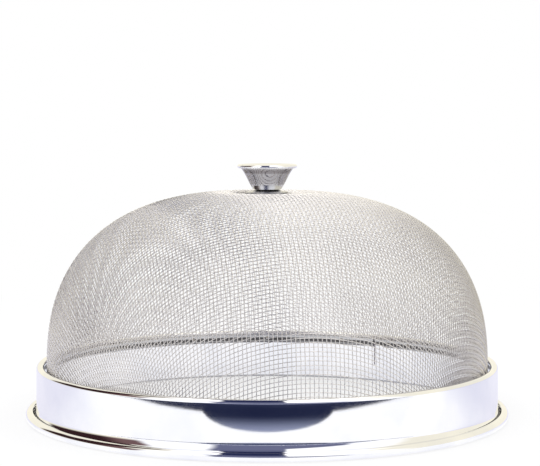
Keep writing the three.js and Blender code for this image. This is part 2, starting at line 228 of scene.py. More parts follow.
# What polished metal sees round it. Angles are degrees, with azimuth 0 in front and growing to the right
WHITE = (1, 1, 1, 1)
WALL_GLOW = (1.05, 1.0, 0.83, 1)
FRONT_GLOW = (1.3, 1.3, 1.3, 1)
FRONT_TURNS = (59, 75)
CEILING_GLOW = (2.2, 2.14, 2.06, 1)
CEILING_EDGES = (54, 78)

# The tall dark thing in front and the low one, both slate below and navy above, and the brown one at the left
SLATE = (0.16, 0.17, 0.28, 1)
NAVY = (0.022, 0.028, 0.085, 1)
SLATE_EDGES = (28, 48)
TALL_SIDES = (-22, 8.5)
TALL_SOFT = 1
TALL_NARROWS = 0.40
TALL_NARROW_EDGES = (20, 80)
FRONT_ENDS = (0.1, 0.5)
LOW_SIDES = (-25, 39)
LOW_TOP = 25
LOW_SLOPE = 0.5
LOW_SOFT = 3
BROWN = (0.19, 0.11, 0.11, 1)
BROWN_DARK = (0.035, 0.014, 0.016, 1)
BROWN_SIDES = (-130, -62)
BROWN_HIGH_SIDES = (-117, -80)
BROWN_RISE = (4, 32, 65)
BROWN_SOFT = 4
BROWN_DARKENS = (-90, -72)

# The floor: a lit share that keeps the shadow, the rest glowing, and the glow's tint in polished metal
FLOOR_REACH = 8
FLOOR_PAINT = (0.92, 0.92, 0.93, 1)
FLOOR_ROUGHNESS = 0.9
FLOOR_NEAR = (1.24, 1.24, 1.25, 1)
FLOOR_FAR = (0.84, 0.83, 0.98, 1)
FLOOR_TURNS = (-0.14, 0.02)
FLOOR_SHARE = 0.65
FLOOR_FADES = (0.25, 0.7)

# Dark cards on the floor in front: a round one, part of a ring beyond it, and a wide one beyond that
CARD_NEAR = (0.26, 0.29, 0.42, 1)
CARD_MIDDLE = (0.013, 0.017, 0.046, 1)
CARD_FAR = (0.15, 0.17, 0.29, 1)
CARD_FADES = (0.235, 0.30)
CARD_PALES = (0.335, 0.40)
CARD_LIFT = 0.2 * MM
LOBE_MIDDLE = (0.002, -0.427)
LOBE_RADIUS = 0.188
LOBE_SIDES = 96
RING_HALVES = (0.36, 0.303)
RING_DEPTH = 0.05
RING_SWEEP = (-62, 54)
FAR_CARD_REACH = 1.2
FAR_CARD_SWEEP = (-25, 39)
SECTOR_STEPS = 48

# Each lamp's name, place, width and watts
LAMPS = (
    ("overhead", (-0.5, -0.4, 1.6), 1.2, 6),
    ("side", (1.3, -0.6, 0.9), 0.8, 2.5),
)


class Value:
    """A number or a vector in a node tree. Arithmetic on it adds Math nodes."""

    def __init__(self, graph, socket):
        self.graph = graph
        self.socket = socket

    def math(self, operation, *others):
        node = self.graph.add("ShaderNodeMath", {"operation": operation})
        for socket, value in zip(node.inputs, (self, *others)):
            self.graph.put(socket, value)
        return Value(self.graph, node.outputs[0])

    def __add__(self, other):
        return self.math("ADD", other)

    __radd__ = __add__

    def __sub__(self, other):
        return self.math("SUBTRACT", other)

    def __rsub__(self, other):
        return (self * -1) + other

    def __mul__(self, other):
        return self.math("MULTIPLY", other)

    __rmul__ = __mul__

    def __truediv__(self, other):
        return self.math("DIVIDE", other)


class Graph:
    """Adds nodes to one node tree: each has a type, settings, and values or links for its inputs."""

    def __init__(self, tree):
        self.tree = tree

    def add(self, kind, settings=None, inputs=None):
        node = self.tree.nodes.new(kind)
        for name, value in (settings or {}).items():
            setattr(node, name, value)
        for name, value in (inputs or {}).items():
            self.put(node.inputs[name], value)
        return node

    def put(self, socket, value):
        if isinstance(value, Value):
            value = value.socket
        if isinstance(value, bpy.types.NodeSocket):
            self.tree.links.new(value, socket)
        else:
            socket.default_value = value

    def value(self, kind, output, settings=None, inputs=None):
        return Value(self, self.add(kind, settings, inputs).outputs[output])

    def ramp(self, factor, low, high):
        """0 up to low, 1 from high, and smooth between."""
        limits = {"Value": factor, "From Min": low, "From Max": high}
        return self.value("ShaderNodeMapRange", "Result", {"interpolation_type": "SMOOTHSTEP"}, limits)

    def window(self, factor, low, high, soft):
        """1 between low and high, 0 outside, with soft edges."""
        above = self.ramp(factor, low - soft, low + soft)
        below = self.ramp(factor, high - soft, high + soft)
        return above * (1 - below)

    def blend(self, factor, first, second):
        """One colour passing into another."""
        node = self.add("ShaderNodeMix", {"data_type": "RGBA"}, {"Factor": factor})
        colours = [socket for socket in node.inputs if socket.type == "RGBA"]
        self.put(colours[0], first)
        self.put(colours[1], second)
        return next(socket for socket in node.outputs if socket.type == "RGBA")

    def noise(self, place, scale, detail):
        inputs = {"Vector": place, "Scale": scale, "Detail": detail}
        return self.value("ShaderNodeTexNoise", "Fac", None, inputs)

    def stretched_noise(self, place, scales, detail):
        """Noise whose pattern has its own scale along each axis."""
        mapped = self.add("ShaderNodeMapping", None, {"Vector": place, "Scale": scales})
        return self.noise(mapped.outputs["Vector"], 1, detail)

    def parts(self, vector):
        split = self.add("ShaderNodeSeparateXYZ", None, {"Vector": vector})
        return [Value(self, socket) for socket in split.outputs]

    def place(self):
        """The place on the object, as a vector and as its parts."""
        vector = self.add("ShaderNodeTexCoord").outputs["Object"]
        return vector, self.parts(vector)

    def bump(self, shader, height, strength, depth):
        inputs = {"Strength": strength, "Distance": depth, "Height": height}
        node = self.add("ShaderNodeBump", None, inputs)
        self.put(shader.inputs["Normal"], node.outputs["Normal"])


def length(x, y):
    """The length of a vector from its two parts, as a node value."""
    return (x * x + y * y).math("SQRT")


def new_material(name, metallic=1):
    """A material, its shader and the graph that its nodes are added to."""
    material = bpy.data.materials.new(name)
    material.use_nodes = True
    shader = material.node_tree.nodes["Principled BSDF"]
    shader.inputs["Metallic"].default_value = metallic
    return material, shader, Graph(material.node_tree)


def polished_steel(name, lip_shaded=False, lapped=False, crease_shaded=False):
    """Mirror polish with the faint waves of rolled sheet and hair-fine polishing lines round the piece.

    On the knob's cup, painted shade and dark reflection darken it toward the lip, most of all in a ring just
    under it. On the lap it is dark along the free edge, and on the rim painted shade darkens it beside the
    cloth and inside the foot.
    """
    material, shader, graph = new_material(name)
    place, (x, y, z) = graph.place()
    streaks = graph.stretched_noise(place, *STREAKS)
    smears = graph.noise(place, *SMEARS)
    waves = graph.noise(place, *WAVES)
    tone = graph.blend(graph.ramp(smears, *SMEAR_EDGES), *MIRROR_TONES)
    # Painted shade and dark reflection: the cup darker toward the lip, darkest in a ring just under it
    if lip_shaded:
        tone = graph.blend(graph.ramp(z, *CUP_SHADE_RISE) * CUP_SHADE_SHARE, tone, CUP_SHADE_TONE)
        ring = graph.window(z, *CUP_SHADE_RING, CUP_SHADE_RING_SOFT)
        tone = graph.blend(ring * CUP_SHADE_RING_SHARE, tone, CUP_SHADE_TONE)
    if lapped:
        along = (y.math("ARCTAN2", x) - SEAM_ANGLE) * WALL_RADIUS
        edge = graph.ramp(along, LAP_WIDTH / 2 - LAP_EDGE, LAP_WIDTH / 2 - LAP_EDGE / 2)
        tone = graph.blend(edge, tone, LAP_TONE)
    # Painted shade: darker inside the top bead beside the cloth, and inside the foot where it meets the floor
    if crease_shaded:
        apart = length(x, y)
        foot = (1 - graph.ramp(apart, *CREASE_FOOT_SIDES)) * (1 - graph.ramp(z, *CREASE_FOOT_RISE))
        rise = graph.window(z, *CREASE_TOP_RISE, CREASE_TOP_SOFT)
        top = (1 - graph.ramp(apart, *CREASE_TOP_SIDES)) * rise
        tone = graph.blend((foot * CREASE_FOOT_SHARE).math("MAXIMUM", top), tone, CREASE_SHADE_TONE)
    roughness = MIRROR_ROUGHNESS + streaks * STREAK_ROUGHNESS + smears * SMEAR_ROUGHNESS
    graph.put(shader.inputs["Base Color"], tone)
    graph.put(shader.inputs["Roughness"], roughness)
    graph.bump(shader, waves + streaks * STREAK_BUMP_SHARE, MIRROR_BUMP, MIRROR_BUMP_DEPTH)
    return material


def bright_wire():
    """Drawn wire, duller here and there from the pressing, with painted light paler at the crown and painted
    shade darker at the right.
    """
    material, shader, graph = new_material("bright_wire")
    place, (x, _, z) = graph.place()
    patches = graph.ramp(graph.noise(place, *WIRE_PATCHES), *WIRE_PATCH_EDGES)
    tone = graph.blend(patches, *WIRE_TONES)
    # Painted light: the wire paler toward the crown, as if lit from above
    tone = graph.blend(graph.ramp(z, *CROWN_RISE) * CROWN_LIGHT_SHARE, tone, CROWN_LIGHT_TONE)
    # Painted shade: the wire darker toward the right
    tone = graph.blend(graph.ramp(x, *RIGHT_SIDES) * RIGHT_SHADE_SHARE, tone, RIGHT_SHADE_TONE)
    graph.put(shader.inputs["Base Color"], tone)
    graph.put(shader.inputs["Roughness"], WIRE_ROUGHNESS + patches * WIRE_PATCH_ROUGHNESS)
    return material


def satin_steel(name, welds=0):
    """Plain sheet with a fine grain.

    With welds it is the clamp hoop's: a dark track of painted shade runs round it below its middle, and each
    weld is a dull round mark.
    """
    material, shader, graph = new_material(name)
    place, (x, y, z) = graph.place()
    grain = graph.stretched_noise(place, *GRAIN)
    patches = graph.noise(place, *SATIN_PATCHES)
    tone = graph.blend(graph.ramp(patches, *SATIN_PATCH_EDGES), *SATIN_TONES)
    mark = 0
    if welds:
        step = 2 * math.pi / welds
        around = y.math("ARCTAN2", x).math("PINGPONG", step / 2) * DOME_RADIUS
        up = z - (SKIRT_FOOT + HOOP_HEIGHT / 2)
        mark = 1 - graph.ramp(length(around, up), WELD_RADIUS * WELD_CORE_SHARE, WELD_RADIUS)
        # Painted shade: a dark track round the hoop below its middle
        track = graph.window(up, *TRACK_SIDES, TRACK_SOFT)
        tone = graph.blend(track * TRACK_SHADE_SHARE, tone, TRACK_SHADE_TONE)
        tone = graph.blend(mark, tone, WELD_TONE)
    roughness = SATIN_ROUGHNESS + grain * GRAIN_ROUGHNESS + patches * SATIN_PATCH_ROUGHNESS
    graph.put(shader.inputs["Base Color"], tone)
    graph.put(shader.inputs["Roughness"], roughness + mark * WELD_ROUGHNESS)
    graph.bump(shader, grain * GRAIN_BUMP_SHARE - mark, SATIN_BUMP, SATIN_BUMP_DEPTH)
    return material


def mesh_object(name, points, faces, material, corner_uv=None):
    """An object from points and faces. corner_uv has one place on the flat sheet for each face corner."""
    mesh = bpy.data.meshes.new(name)
    mesh.from_pydata([tuple(p) for p in points], [], faces)
    if corner_uv is not None:
        layer = mesh.uv_layers.new(name="OFBake")
        layer.data.foreach_set("uv", np.asarray(corner_uv, np.float32).ravel())
    mesh.materials.append(material)
    piece = bpy.data.objects.new(name, mesh)
    bpy.context.scene.collection.objects.link(piece)
    return piece


def fit(piece, nodes):
    """Puts a finished piece on the part in the place of its CAD nodes."""
    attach(piece, "root")
    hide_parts(*nodes)


def smooth(mesh, steepest_bend):
    """Shades a mesh smooth over bends of up to so many degrees."""
    mesh.shade_smooth()
    mesh.set_sharp_from_angle(angle=math.radians(steepest_bend))


def arc(centre, radius, start, sweep, steps):
    """Points on an arc in the (radius, height) plane."""
    angles = start + sweep * np.linspace(0, 1, steps + 1)
    return np.array(centre) + radius * np.stack([np.cos(angles), np.sin(angles)], 1)


def bezier(first, first_pull, last_pull, last, steps):
    """Points on a cubic curve."""
    t = np.linspace(0, 1, steps + 1)[:, None]
    ends = (1 - t) ** 3 * np.array(first) + t**3 * np.array(last)
    return ends + 3 * t * (1 - t) ** 2 * np.array(first_pull) + 3 * t**2 * (1 - t) * np.array(last_pull)


def sheet_outline(line, thickness):
    """The counter-clockwise outline of bent sheet, half its thickness to each side of its middle line."""
    line = np.asarray(line, float)
    steps = np.diff(line, axis=0)
    steps /= np.linalg.norm(steps, axis=1)[:, None]
    before = np.vstack([steps[:1], steps])
    after = np.vstack([steps, steps[-1:]])
    way = before + after
    way /= np.linalg.norm(way, axis=1)[:, None]
    spread = thickness / 2 / (way * after).sum(1)
    offset = np.stack([-way[:, 1], way[:, 0]], 1) * spread[:, None]
    return np.vstack([line - offset, (line + offset)[::-1]])


def lofted(name, rings, closed, material):
    """A solid through rings of points about the axis, each counter-clockwise in its own half plane.

    A point on the axis is one vertex for all the rings.
    """
    rings = np.asarray(rings, float)
    total, count, _ = rings.shape
    index = np.arange(total * count).reshape(total, count)
    on_axis = np.hypot(rings[0, :, 0], rings[0, :, 1]) < ON_AXIS
    index[:, on_axis] = index[0, on_axis]
    used, index = np.unique(index, return_inverse=True)
    index = index.reshape(total, count)
    lengths = np.linalg.norm(np.diff(rings[0], axis=0, append=rings[0, :1]), axis=1)
    along = np.concatenate([[0], np.cumsum(lengths) / lengths.sum()])
    sides = total if closed else total - 1
    faces, places = [], []
    for side in range(sides):
        far = (side + 1) % total
        for k in range(count):
            after = (k + 1) % count
            loop = {}
            for vertex, place in (
                (index[side, k], (side / sides, along[k])),
                (index[far, k], ((side + 1) / sides, along[k])),
                (index[far, after], ((side + 1) / sides, along[k + 1])),
                (index[side, after], (side / sides, along[k + 1])),
            ):
                loop.setdefault(int(vertex), place)
            if len(loop) > 2:
                faces.append(list(loop))
                places += loop.values()
    if not closed:
        faces += [index[0].tolist(), index[-1, ::-1].tolist()]
        places += [(0, v) for v in along[:-1]] + [(1, v) for v in along[-2::-1]]
    piece = mesh_object(name, rings.reshape(-1, 3)[used], faces, material, places)
    smooth(piece.data, SMOOTH_BEND)
    return piece


def about_axis(section, angles):
    """Rings of points: a (radius, height) section set at each angle about the axis."""
    section = np.asarray(section, float)
    around = np.stack([np.cos(angles), np.sin(angles)], -1)
    level = section[None, :, 0, None] * around[:, None]
    heights = np.broadcast_to(section[None, :, 1, None], (*level.shape[:2], 1))
    return np.concatenate([level, heights], -1)


def turned(name, section, sides, material):
    """A solid made by turning a counter-clockwise section all the way round the axis."""
    angles = 2 * math.pi * np.arange(sides) / sides
    return lofted(name, about_axis(section, angles), True, material)


def with_craters(rings, centres):
    """Presses a shallow round crater outward into the inner face at each weld's (angle, height)."""
    pressed = rings.copy()
    radius = np.hypot(rings[..., 0], rings[..., 1])
    inner = radius < radius.mean()
    angle = np.arctan2(rings[..., 1], rings[..., 0])
    for weld_angle, weld_height in centres:
        off = (angle - weld_angle + math.pi) % (2 * math.pi) - math.pi
        apart = np.hypot(off * radius, rings[..., 2] - weld_height) / WELD_RADIUS
        share = np.clip((1 - apart) / WELD_EDGE_SHARE, 0, 1)
        depth = np.where(inner, WELD_DEPTH * share**2 * (3 - 2 * share), 0)
        pressed[..., :2] *= (1 + depth / radius)[..., None]
    return pressed


def weld_steps(middle, radius):
    """Places along a face about the middle of a weld, close enough to shape its crater."""
    return middle + np.linspace(-WELD_RADIUS, WELD_RADIUS, WELD_ROWS) / radius


def dome_excess(points):
    """How far points are off the superellipse, as the excess of its sum over 1, and that sum's gradient."""
    radius = np.maximum(np.hypot(points[:, 0], points[:, 1]), LEAST_RADIUS)
    out = radius / DOME_RADIUS
    up = np.maximum(points[:, 2] - SPRING_HEIGHT, 0) / DOME_RISE
    out_slope = DOME_OUT_POWER * out ** (DOME_OUT_POWER - 1) / DOME_RADIUS / radius
    up_slope = DOME_UP_POWER * up ** (DOME_UP_POWER - 1) / DOME_RISE
    gradient = np.stack([points[:, 0] * out_slope, points[:, 1] * out_slope, up_slope], 1)
    return out**DOME_OUT_POWER + up**DOME_UP_POWER - 1, gradient


def solve_crossings(guess, first, second, edge):
    """Crossings one pitch from both neighbours, by Newton's method.

    Where edge is 0 the first neighbour is missing, where it is 1 the second is, and the plane x = 0 or y = 0
    takes its place.
    """
    points = guess.copy()
    planes = np.array([[0.0, 1, 0], [1, 0, 0]])
    for _ in range(NEWTON_STEPS):
        value, gradient = dome_excess(points)
        rows, errors = [gradient], [value]
        for neighbour, missing in ((first, 0), (second, 1)):
            apart = points - neighbour
            on_edge = (edge == missing)[:, None]
            rows.append(np.where(on_edge, planes[1 - missing], 2 * apart))
            far_off = (apart**2).sum(1) - WIRE_PITCH**2
            errors.append(np.where(on_edge[:, 0], points @ planes[1 - missing], far_off))
        matrix = np.stack(rows, 1)
        points -= np.linalg.solve(matrix, np.stack(errors, 1)[..., None])[..., 0]
    return points


def woven_net():
    """Crossings of the cloth as a square grid of points, NaN past the skirt, with the apex in the middle.

    Warp and weft keep their pitch along the dome and shear over one another, as cloth does when it is
    pressed.
    """
    most = int((DOME_RADIUS + APEX_HEIGHT) / WIRE_PITCH)
    quarter = np.full((most, most, 3), np.nan)
    quarter[0, 0] = (0, 0, APEX_HEIGHT)
    low = SKIRT_FOOT - 2 * WIRE_PITCH
    for total in range(1, 2 * most - 1):
        i = np.arange(max(0, total - most + 1), min(total, most - 1) + 1)
        j = total - i
        edge = np.where(j == 0, 1, np.where(i == 0, 0, -1))
        first = quarter[i - 1, j]
        second = quarter[i, j - 1]
        corner = quarter[i - 1, j - 1]
        along = np.where((edge == 1)[:, None], first, second)
        before = np.where((edge == 1)[:, None], quarter[i - 2, j], quarter[i, j - 2])
        if total == 1:
            step = np.where((edge == 1)[:, None], [WIRE_PITCH, 0, 0], [0, WIRE_PITCH, 0])
            guess = along + step
        else:
            guess = np.where((edge >= 0)[:, None], 2 * along - before, first + second - corner)
        first = np.where((edge == 0)[:, None], second, first)
        second = np.where((edge == 1)[:, None], first, second)
        known = np.isfinite(guess).all(1) & (np.minimum(first[:, 2], second[:, 2]) > low)
        if not known.any():
            break
        i, j = i[known], j[known]
        quarter[i, j] = solve_crossings(guess[known], first[known], second[known], edge[known])
    right = np.concatenate([quarter[:0:-1] * (-1, 1, 1), quarter])
    return np.concatenate([right[:, :0:-1] * (1, -1, 1), right], 1)


def drawn_down(points):
    """Lowers the crown to where the washers hold the cloth: flat between them, then easing back up."""
    radius = np.hypot(points[..., 0], points[..., 1])
    share = np.clip((radius - WASHER_RADIUS) / (CROWN_DIP_RADIUS - WASHER_RADIUS), 0, 1)
    ease = 1 - share**2 * (3 - 2 * share)
    lowered = points.copy()
    lowered[..., 2] += (CLAMP_HEIGHT - points[..., 2]) * ease
    return lowered


def wire_cloth_tree(name):
    """Geometry Nodes that turn centre lines into round wires, each over and under the others by turns."""
    tree = bpy.data.node_groups.new(name, "GeometryNodeTree")
    graph = Graph(tree)
    sockets = {}
    for label, kind, default in (
        ("Lines", "NodeSocketGeometry", None),
        ("Wire Diameter", "NodeSocketFloat", WIRE),
        ("Wire Sides", "NodeSocketInt", WIRE_SIDES),
        ("First Rise", "NodeSocketFloat", 1.0),
        ("Material", "NodeSocketMaterial", None),
    ):
        socket = tree.interface.new_socket(label, in_out="INPUT", socket_type=kind)
        if default is not None:
            socket.default_value = default
        sockets[label] = socket.identifier
    tree.interface.new_socket("Cloth", in_out="OUTPUT", socket_type="NodeSocketGeometry")
    inputs = graph.add("NodeGroupInput").outputs
    given = {label: Value(graph, socket) for label, socket in inputs.items() if label}

    def attribute(label, data_type):
        kind, settings = "GeometryNodeInputNamedAttribute", {"data_type": data_type}
        return graph.value(kind, "Attribute", settings, {"Name": label})

    def marked(geometry, label, data_type, value):
        settings = {"data_type": data_type, "domain": "POINT"}
        values = {"Geometry": geometry.outputs[0], "Name": label, "Value": value}
        return graph.add("GeometryNodeStoreNamedAttribute", settings, values)

    by_turns = 1 - 2 * attribute("crossing", "INT").math("FLOORED_MODULO", 2)
    rise = by_turns * given["First Rise"] * given["Wire Diameter"] / 2
    scaled = {"Vector": attribute("cloth_normal", "FLOAT_VECTOR"), "Scale": rise}
    lift = graph.add("ShaderNodeVectorMath", {"operation": "SCALE"}, scaled)
    moves = {"Geometry": given["Lines"], "Offset": lift.outputs[0]}
    moved = graph.add("GeometryNodeSetPosition", None, moves)
    lines = graph.add("GeometryNodeMeshToCurve", None, {"Mesh": moved.outputs[0]})
    along = graph.value("GeometryNodeSplineParameter", "Length")
    lines = marked(lines, "along", "FLOAT", along)
    circle = {"Resolution": given["Wire Sides"], "Radius": given["Wire Diameter"] / 2}
    ring = graph.add("GeometryNodeCurvePrimitiveCircle", None, circle)
    side = graph.value("GeometryNodeInputIndex", "Index")
    ring = marked(ring, "side", "INT", side)
    sweep = {"Curve": lines.outputs[0], "Profile Curve": ring.outputs[0], "Fill Caps": True}
    wires = graph.add("GeometryNodeCurveToMesh", None, sweep)
    shaded = graph.add("GeometryNodeSetShadeSmooth", None, {"Geometry": wires.outputs[0]})
    real = graph.add("GeometryNodeRealizeInstances", None, {"Geometry": shaded.outputs[0]})
    metal = {"Geometry": real.outputs[0], "Material": given["Material"]}
    finished = graph.add("GeometryNodeSetMaterial", None, metal)
    graph.put(graph.add("NodeGroupOutput").inputs["Cloth"], finished.outputs[0])
    return tree, sockets


def wire_lines(name, points, normals, parity):
    """A mesh of the centre lines of some wires. points is wires by crossings, NaN where a wire isn't."""
    there = np.isfinite(points[..., 0])
    index = np.full(there.shape, -1)
    index[there] = np.arange(there.sum())
    joined = there[:, 1:] & there[:, :-1]
    edges = np.stack([index[:, :-1][joined], index[:, 1:][joined]], 1)
    mesh = bpy.data.meshes.new(name)
    mesh.from_pydata(points[there].tolist(), edges.tolist(), [])
    wires = np.broadcast_to(np.arange(len(points))[:, None], there.shape)
    for label, kind, field, values in (
        ("crossing", "INT", "value", parity[there].astype(np.int32)),
        ("wire", "INT", "value", wires[there].astype(np.int32)),
        ("cloth_normal", "FLOAT_VECTOR", "vector", normals[there].astype(np.float32).ravel()),
    ):
        mesh.attributes.new(label, kind, "POINT").data.foreach_set(field, values)
    lines = bpy.data.objects.new(name, mesh)
    bpy.context.scene.collection.objects.link(lines)
    return lines


def read_attribute(mesh, label):
    """A number for each of the mesh's vertices."""
    attribute = mesh.attributes[label]
    values = np.zeros(len(mesh.vertices), np.int32 if attribute.data_type == "INT" else np.float32)
    attribute.data.foreach_get("value", values)
    return values


def lay_out_wires(mesh):
    """A UV map for the wires' finish: each wire is a strip, side by side with the others."""
    along, side, wire = (read_attribute(mesh, label) for label in ("along", "side", "wire"))
    corners = np.zeros(len(mesh.loops), np.int32)
    mesh.loops.foreach_get("vertex_index", corners)
    starts = np.zeros(len(mesh.polygons), np.int32)
    mesh.polygons.foreach_get("loop_start", starts)
    around = side[corners]
    last = np.maximum.reduceat(around, starts) == WIRE_SIDES - 1
    first = np.minimum.reduceat(around, starts) == 0
    wraps = np.repeat(last & first, np.diff(np.append(starts, len(corners))))
    around = np.where(wraps & (around == 0), WIRE_SIDES, around)
    across = (wire[corners] + (around + 0.5) / (WIRE_SIDES + 1)) / (wire.max() + 1)
    places = np.stack([along[corners] / along.max(), across], 1)
    mesh.uv_layers.new(name="OFBake").data.foreach_set("uv", places.astype(np.float32).ravel())
    for label in ("along", "side", "wire", "crossing", "cloth_normal"):
        mesh.attributes.remove(mesh.attributes[label])


def make_wire_cloth(material):
    """The cloth's warp and weft, each in two halves."""
    crossings = woven_net()
    normals = dome_excess(crossings.reshape(-1, 3))[1].reshape(crossings.shape)
    normals /= np.linalg.norm(normals, axis=-1, keepdims=True)
    middle = len(crossings) // 2
    normals[middle, middle] = (0, 0, 1)
    crossings = drawn_down(crossings)
    crossings[crossings[..., 2] < SKIRT_FOOT + WIRE_PITCH / 2] = np.nan
    crossings[np.hypot(crossings[..., 0], crossings[..., 1]) < SCREW_HOLE_RADIUS] = np.nan
    cosine, sine = math.cos(WEAVE_ANGLE), math.sin(WEAVE_ANGLE)
    turn = np.array([[cosine, sine, 0], [-sine, cosine, 0], [0, 0, 1]])
    crossings, normals = crossings @ turn, normals @ turn
    parity = np.add.outer(np.arange(len(crossings)), np.arange(len(crossings)))
    tree, sockets = wire_cloth_tree("wire_cloth")
    for family, rise, order, halves in (
        ("warp", 1.0, (0, 1, 2), ("left", "right")),
        ("weft", -1.0, (1, 0, 2), ("front", "back")),
    ):
        for half, wires in zip(halves, (slice(None, middle), slice(middle, None))):
            chosen = crossings.transpose(order)[wires], normals.transpose(order)[wires]
            lines = wire_lines(f"cloth_{family}_{half}", *chosen, parity[wires])
            modifier = lines.modifiers.new("cloth", "NODES")
            modifier.node_group = tree
            modifier[sockets["First Rise"]] = rise
            modifier[sockets["Material"]] = material
            depsgraph = bpy.context.evaluated_depsgraph_get()
            mesh = bpy.data.meshes.new_from_object(lines.evaluated_get(depsgraph))
            bpy.data.objects.remove(lines)
            lay_out_wires(mesh)
            piece = bpy.data.objects.new(f"cloth_{family}_{half}", mesh)
            bpy.context.scene.collection.objects.link(piece)
            fit(piece, ["mesh_dome"])


def flare_line(foot):
    """The wall's foot, upward from the bead's inner side: it leans inward, then stands upright again."""
    high_pull, low_pull = (FLARE_HEIGHT + share * (foot - FLARE_HEIGHT) for share in FLARE_SHARES)
    low_end, high_end = (FOOT_BEND_RADIUS, foot), (WALL_RADIUS, FLARE_HEIGHT)
    return bezier(low_end, (FOOT_BEND_RADIUS, low_pull), (WALL_RADIUS, high_pull), high_end, FLARE_STEPS)


def make_rim_strip(material):
    """The rim's strip: foot bead, flare, straight wall and top bead."""
    foot_radius = (FOOT_BEAD - SHEET) / 2
    top_radius = (TOP_BEAD - SHEET) / 2
    foot_centre = (FOOT_BEND_RADIUS + foot_radius, FOOT_BEAD / 2)
    top_centre = (WALL_TOP_RADIUS - top_radius, TOP_BEAD_MIDDLE)
    foot = arc(foot_centre, foot_radius, math.pi + FOOT_CURL, -FOOT_CURL, FOOT_STEPS)
    flare = flare_line(foot_centre[1])
    top = arc(top_centre, top_radius, 0, TOP_CURL, TOP_STEPS)
    share = WALL_MARGIN / (TOP_BEAD_MIDDLE - FLARE_HEIGHT)
    wall = flare[-1] + np.array([[share], [1 - share]]) * (top[0] - flare[-1])
    outline = sheet_outline(np.vstack([foot, flare[1:], wall, top]), SHEET)
    rim = turned("rim_strip", outline, RIM_SIDES, material)
    fit(rim, ["rim_band"])


def wall_radius(height):
    """Radius of the straight wall's middle line, which tapers inward to the top."""
    share = (height - FLARE_HEIGHT) / (TOP_BEAD_MIDDLE - FLARE_HEIGHT)
    return WALL_RADIUS - WALL_TAPER * share


def make_rim_lap(material):
    """The end of the strip that laps inside the wall, with its spot welds."""
    low, high = FLARE_HEIGHT, RIM_HEIGHT - TOP_BEAD - SHEET
    welds = low + (high - low) * np.arange(1, WELD_COUNT + 1) / (WELD_COUNT + 1)
    rows = np.unique(np.concatenate([[low, high], *(weld_steps(height, 1) for height in welds)]))
    inner = np.stack([wall_radius(rows) - LAP_INSET, rows], 1)[::-1]
    section = np.vstack([[(wall_radius(low), low), (wall_radius(high), high)], inner])
    half = LAP_WIDTH / WALL_RADIUS / 2
    columns = weld_steps(SEAM_ANGLE, WALL_RADIUS)
    angles = np.concatenate([[SEAM_ANGLE - half], columns, [SEAM_ANGLE + half]])
    rings = with_craters(about_axis(section, angles), [(SEAM_ANGLE, height) for height in welds])
    lap = lofted("rim_lap", rings, False, material)
    fit(lap, ["rim_band"])


def make_clamp_hoop(material):
    """The hoop inside the skirt of the cloth, split at the seam, with a spot weld every few centimetres."""
    outer = DOME_RADIUS - CLOTH_HALF - SEAT_GAP
    half = HOOP_SHEET / 2
    low, high = SKIRT_FOOT + half, SKIRT_FOOT + HOOP_HEIGHT - half
    middle = (low + high) / 2
    foot = arc((outer - half, low), half, math.pi, math.pi, HOOP_EDGE_STEPS)
    top = arc((outer - half, high), half, 0, math.pi, HOOP_EDGE_STEPS)
    rows = weld_steps(middle, 1)[::-1]
    inner = np.stack([np.full(len(rows), outer - HOOP_SHEET), rows], 1)
    section = np.vstack([foot, top, inner])
    split = HOOP_SPLIT / outer
    turn = 2 * math.pi / HOOP_WELD_COUNT
    welds = SEAM_ANGLE + turn * (np.arange(HOOP_WELD_COUNT) + 0.5)
    even = SEAM_ANGLE + np.linspace(split / 2, 2 * math.pi - split / 2, HOOP_SIDES + 1)
    angles = np.sort(np.concatenate([even, *(weld_steps(angle, outer) for angle in welds)]))
    rings = with_craters(about_axis(section, angles), [(angle, middle) for angle in welds])
    hoop = lofted("hoop", rings, False, material)
    fit(hoop, ["clamp_hoop"])


def knob_heights():
    """Heights of the parts that the screw clamps together, from the flat washer up."""
    heights = {"washer_top": CLAMP_HEIGHT - CLOTH_HALF - SEAT_GAP}
    heights["washer_foot"] = heights["washer_top"] - INNER_WASHER_SHEET
    heights["dished_foot"] = CLAMP_HEIGHT + CLOTH_HALF + SEAT_GAP
    heights["knob_foot"] = heights["dished_foot"] + CROWN_WASHER_DISH + CROWN_WASHER_SHEET + SEAT_GAP
    heights["nut_foot"] = heights["knob_foot"] + KNOB_SHEET + SEAT_GAP
    return heights


def make_washers(material):
    """The dished washer under the knob, whose edge lies on the cloth, and the flat one inside the dome."""
    heights = knob_heights()
    crown = heights["dished_foot"] + CROWN_WASHER_DISH + CROWN_WASHER_SHEET / 2
    line = [
        (SCREW_HOLE_RADIUS, crown),
        (KNOB_FOOT_RADIUS - KNOB_GROOVE, crown),
        (KNOB_FOOT_RADIUS, crown - KNOB_GROOVE / 2),
        (WASHER_RADIUS, heights["dished_foot"] - SEAT_GAP + CROWN_WASHER_SHEET / 2),
    ]
    washer = turned("dished_washer", sheet_outline(line, CROWN_WASHER_SHEET), WASHER_SIDES, material)
    fit(washer, ["crown_washer"])

    low, high = heights["washer_foot"], heights["washer_top"]
    soft = (high - low) * INNER_WASHER_SOFT_SHARE
    section = [
        (SCREW_HOLE_RADIUS, low + soft),
        (SCREW_HOLE_RADIUS + soft, low),
        (WASHER_RADIUS - soft, low),
        (WASHER_RADIUS, low + soft),
        (WASHER_RADIUS, high),
        (SCREW_HOLE_RADIUS, high),
    ]
    washer = turned("flat_washer", section, WASHER_SIDES, material)
    fit(washer, ["inner_washer"])


